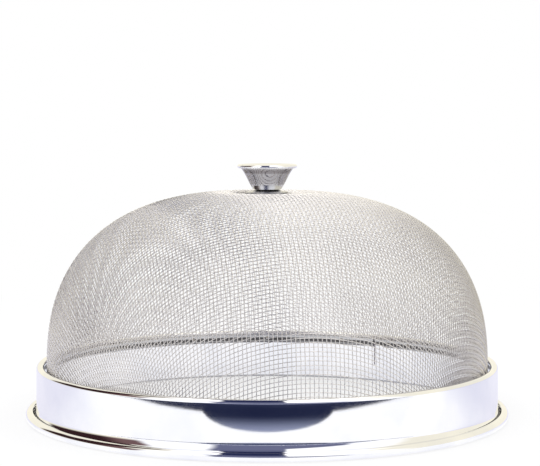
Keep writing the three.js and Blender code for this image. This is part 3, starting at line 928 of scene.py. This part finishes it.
def make_knob(material, cup_material):
    """The flared cup, and the dished disc whose edge is rolled round the cup's lip."""
    foot = knob_heights()["knob_foot"]
    floor = foot + KNOB_SHEET / 2
    roll = KNOB_SHEET + SEAT_GAP
    lip_radius = KNOB_LIP_RADIUS - roll - KNOB_SHEET / 2
    lip = foot + KNOB_HEIGHT - roll - KNOB_SHEET / 2
    start = np.array([KNOB_FOOT_RADIUS - KNOB_SHEET / 2, floor])
    end = np.array([lip_radius - SEAT_GAP, lip])
    belly = start + (end - start) * BELLY_SHARES
    neck = start + (end - start) * NECK_SHARES
    line = np.vstack([[(SCREW_HOLE_RADIUS, floor)], bezier(start, belly, neck, end, KNOB_STEPS)])
    body = turned("knob_cup", sheet_outline(line, KNOB_SHEET), KNOB_SIDES, cup_material)
    fit(body, ["knob_body"])

    disc = lip + roll
    dish = lip_radius - CAP_DISH
    centre = disc - CAP_DISH / 2
    curl = arc((lip_radius, lip), roll, math.pi / 2, -math.pi, LIP_STEPS)
    line = np.vstack([[(0, centre), (dish - CAP_DISH, centre), (dish, disc)], curl])
    cap = turned("knob_disc", sheet_outline(line, KNOB_SHEET), KNOB_SIDES, material)
    fit(cap, ["knob_cap"])


def make_nut(material):
    """Hexagon nut with its corners cut back by a cone."""
    low = knob_heights()["nut_foot"]
    high = low + NUT_HEIGHT
    flat = NUT_ACROSS_FLATS / 2
    face = flat * NUT_FACE_SHARE
    half_side = math.pi / NUT_CORNERS
    rings = []
    for angle in np.linspace(0, 2 * math.pi, NUT_SIDES, endpoint=False):
        off_corner = (angle + half_side) % (2 * half_side) - half_side
        reach = flat / math.cos(half_side - abs(off_corner))
        drop = (reach - face) * math.tan(NUT_CHAMFER)
        section = [
            (SCREW_HOLE_RADIUS, low),
            (face, low),
            (reach, low + drop),
            (reach, high - drop),
            (face, high),
            (SCREW_HOLE_RADIUS, high),
        ]
        rings.append(about_axis(section, np.array([angle]))[0])
    nut = lofted("hexagon_nut", rings, True, material)
    fit(nut, ["knob_nut"])


def recess_wedge(name, head_foot, turn, material):
    """One blade of the screw driver's cross, wide at the head's face and narrow at its bottom."""
    corners = []
    for height, share in (
        (head_foot - RECESS_DEPTH, 1 + RECESS_NARROWS),
        (head_foot + RECESS_DEPTH, 1 - RECESS_NARROWS),
    ):
        for x, y in ((-1, -1), (1, -1), (1, 1), (-1, 1)):
            along, across = x * RECESS_LENGTH / 2 * share, y * RECESS_WIDTH / 2 * share
            place = (
                along * math.cos(turn) - across * math.sin(turn),
                along * math.sin(turn) + across * math.cos(turn),
            )
            corners.append((*place, height))
    faces = [(3, 2, 1, 0), (4, 5, 6, 7), (0, 1, 5, 4), (1, 2, 6, 5), (2, 3, 7, 6), (3, 0, 4, 7)]
    return mesh_object(f"recess_{name}", corners, faces, material)


def make_screw(material):
    """Pan head screw with a cross recess that narrows inward."""
    heights = knob_heights()
    head_top = heights["washer_foot"] - SEAT_GAP
    head_foot = head_top - HEAD_HEIGHT
    end = heights["nut_foot"] + NUT_HEIGHT + SCREW_END
    flat = np.array([HEAD_RADIUS * HEAD_FLAT_SHARE, head_foot])
    corner = np.array([HEAD_RADIUS, head_foot])
    side = np.array([HEAD_RADIUS, head_foot + HEAD_HEIGHT * HEAD_ROUND_SHARE])
    t = np.linspace(0, 1, HEAD_STEPS + 1)[:, None]
    edge = (1 - t) ** 2 * flat + 2 * t * (1 - t) * corner + t**2 * side
    shank = [
        (HEAD_RADIUS, head_top),
        (SCREW_RADIUS, head_top),
        (SCREW_RADIUS, end - SCREW_BEVEL),
        (SCREW_RADIUS - SCREW_BEVEL, end),
        (0, end),
    ]
    section = np.vstack([[(0, head_foot)], edge, shank])
    screw = turned("pan_head_screw", section, SCREW_SIDES, material)
    for name, turn in (("first", 0), ("second", math.pi / 2)):
        cut = screw.modifiers.new(name, "BOOLEAN")
        cut.operation = "DIFFERENCE"
        cut.solver = "EXACT"
        cut.object = recess_wedge(name, head_foot, turn, material)
    depsgraph = bpy.context.evaluated_depsgraph_get()
    cleared = bpy.data.meshes.new_from_object(screw.evaluated_get(depsgraph))
    for cut in list(screw.modifiers):
        cutter = cut.object
        screw.modifiers.remove(cut)
        bpy.data.objects.remove(cutter)
    screw.data = cleared
    smooth(screw.data, SCREW_SMOOTH_BEND)
    fit(screw, ["knob_screw"])


def studio_glow(graph, direction):
    """What polished metal sees round it: pale walls, a white ceiling, and dark things in front and left.

    Azimuth is 0 in front and grows to the right, both angles in degrees.
    """
    x, y, z = graph.parts(direction)
    azimuth = x.math("ARCTAN2", y * -1).math("DEGREES")
    elevation = z.math("ARCSINE").math("DEGREES")
    across = x.math("ARCSINE").math("DEGREES")
    front = 1 - graph.ramp(azimuth.math("ABSOLUTE"), *FRONT_TURNS)
    walls = graph.blend(front, WALL_GLOW, FRONT_GLOW)
    glow = graph.blend(graph.ramp(elevation, *CEILING_EDGES), walls, CEILING_GLOW)

    foot, shoulder, peak = BROWN_RISE
    brown_top = shoulder + (peak - shoulder) * graph.window(azimuth, *BROWN_HIGH_SIDES, BROWN_SOFT)
    sides = graph.window(azimuth, *BROWN_SIDES, BROWN_SOFT)
    brown = sides * graph.window(elevation, foot, brown_top, BROWN_SOFT)
    tone = graph.blend(graph.ramp(azimuth, *BROWN_DARKENS), BROWN_DARK, BROWN)
    glow = graph.blend(brown, glow, tone)

    in_front = 1 - graph.ramp(y, *FRONT_ENDS)
    spread = 1 - TALL_NARROWS * graph.ramp(elevation, *TALL_NARROW_EDGES)
    tall = graph.window(across / spread, *TALL_SIDES, TALL_SOFT) * in_front
    low_top = LOW_TOP - LOW_SLOPE * across
    under = 1 - graph.ramp(elevation, low_top - LOW_SOFT, low_top + LOW_SOFT)
    low = graph.window(across, *LOW_SIDES, LOW_SOFT) * under * in_front
    thing = graph.blend(graph.ramp(elevation, *SLATE_EDGES), SLATE, NAVY)
    return graph.blend(tall.math("MAXIMUM", low), glow, thing)


def seen(graph):
    """Two values: 1 for a ray from the camera, a mirror or glass, and 1 for one from a mirror."""
    ray = graph.add("ShaderNodeLightPath").outputs
    names = ("Is Camera Ray", "Is Glossy Ray", "Is Transmission Ray")
    camera, glossy, passed = (Value(graph, ray[name]) for name in names)
    return camera.math("MAXIMUM", glossy).math("MAXIMUM", passed), glossy


def make_floor():
    """A white floor that keeps the shadow under the cover and fades to the surround's white."""
    material, shader, graph = new_material("pale_floor", metallic=0)
    shader.inputs["Base Color"].default_value = FLOOR_PAINT
    shader.inputs["Roughness"].default_value = FLOOR_ROUGHNESS
    shader.inputs["Specular IOR Level"].default_value = 0
    shown, mirrored = seen(graph)
    _, (x, y, _) = graph.place()
    apart = length(x, y)
    behind = graph.ramp(y, *FLOOR_TURNS) * graph.ramp(apart, RIM_RADIUS, RIM_RADIUS + FOOT_BEAD)
    tint = graph.blend(mirrored, WHITE, graph.blend(behind, FLOOR_NEAR, FLOOR_FAR))
    glow = graph.add("ShaderNodeEmission", None, {"Color": tint, "Strength": 1.0})
    share = FLOOR_SHARE + (1 - FLOOR_SHARE) * graph.ramp(apart, *FLOOR_FADES)
    inputs = {0: shown * share, 1: shader.outputs["BSDF"], 2: glow.outputs[0]}
    mixed = graph.add("ShaderNodeMixShader", None, inputs)
    graph.put(material.node_tree.nodes["Material Output"].inputs["Surface"], mixed.outputs[0])
    reach = FLOOR_REACH
    corners = [(-reach, -reach, 0), (reach, -reach, 0), (reach, reach, 0), (-reach, reach, 0)]
    mesh_object("floor", corners, [(0, 1, 2, 3)], material)


def floor_sector(near, far, sweep):
    """The edge of a part of the floor between two ellipses, given by their halves, and two azimuths."""
    turns = np.radians(np.linspace(*sweep, SECTOR_STEPS + 1))
    sides = ((near, turns), (far, turns[::-1]))
    return [
        (wide * math.sin(turn), -deep * math.cos(turn), CARD_LIFT)
        for (wide, deep), side in sides
        for turn in side
    ]


def make_cards():
    """Dark sheets that lie on the floor in front and only show in polished metal."""
    material, shader, graph = new_material("dark_card", metallic=0)
    _, (x, y, _) = graph.place()
    apart = length(x, y)
    tone = graph.blend(graph.ramp(apart, *CARD_FADES), CARD_NEAR, CARD_MIDDLE)
    tone = graph.blend(graph.ramp(apart, *CARD_PALES), tone, CARD_FAR)
    graph.put(shader.inputs["Base Color"], tone)
    shader.inputs["Roughness"].default_value = 1
    shader.inputs["Specular IOR Level"].default_value = 0
    lobe = arc(LOBE_MIDDLE, LOBE_RADIUS, 0, 2 * math.pi, LOBE_SIDES)[:-1]
    ring = np.array(RING_HALVES)
    for name, points in (
        ("card", [(*point, CARD_LIFT) for point in lobe]),
        ("ring_card", floor_sector(ring, ring + RING_DEPTH, RING_SWEEP)),
        ("far_card", floor_sector(ring + RING_DEPTH, [FAR_CARD_REACH] * 2, FAR_CARD_SWEEP)),
    ):
        card = mesh_object(name, points, [list(range(len(points)))], material)
        card.visible_camera = False
        card.visible_diffuse = False
        card.visible_shadow = False


def make_surround():
    """White all round, with the studio's glow in its place for polished metal."""
    world = bpy.data.worlds.new("studio")
    bpy.context.scene.world = world
    world.use_nodes = True
    graph = Graph(world.node_tree)
    direction = graph.add("ShaderNodeTexCoord").outputs["Generated"]
    colour = graph.blend(seen(graph)[1], WHITE, studio_glow(graph, direction))
    background = world.node_tree.nodes["Background"]
    graph.put(background.inputs["Color"], colour)
    background.inputs["Strength"].default_value = 1


def make_lamps():
    """Soft square lamps that point at the origin and don't show in polished metal."""
    for name, place, width, watts in LAMPS:
        lamp = bpy.data.lights.new(name, "AREA")
        lamp.energy = watts
        lamp.size = width
        holder = bpy.data.objects.new(name, lamp)
        holder.location = place
        holder.visible_glossy = False
        holder.rotation_euler = Vector(place).to_track_quat("Z", "Y").to_euler()
        bpy.context.scene.collection.objects.link(holder)


def make_camera():
    """The photograph's camera: a little above the knob's top, pitched down a little, from the front."""
    lens = bpy.data.cameras.new("camera")
    lens.sensor_width = SENSOR_MM
    lens.lens = FOCAL_PX / PHOTO_WIDTH_PX * SENSOR_MM
    camera = bpy.data.objects.new("camera", lens)
    camera.location = (AXIS_OFFSET_PX / FOCAL_PX * CAMERA_DISTANCE, -CAMERA_DISTANCE, CAMERA_HEIGHT)
    camera.rotation_euler = (math.pi / 2 - CAMERA_PITCH, 0, 0)
    bpy.context.scene.collection.objects.link(camera)
    bpy.context.scene.camera = camera


polished = polished_steel("polished_steel")
satin = satin_steel("satin_steel")
make_rim_strip(polished_steel("rim_steel", crease_shaded=True))
make_rim_lap(polished_steel("lap_steel", lapped=True))
make_wire_cloth(bright_wire())
make_clamp_hoop(satin_steel("welded_steel", HOOP_WELD_COUNT))
make_washers(satin)
make_knob(polished, polished_steel("lip_shaded_steel", lip_shaded=True))
make_nut(satin)
make_screw(satin)
make_floor()
make_cards()
make_surround()
make_lamps()
make_camera()
bpy.context.scene.view_settings.view_transform = "Standard"
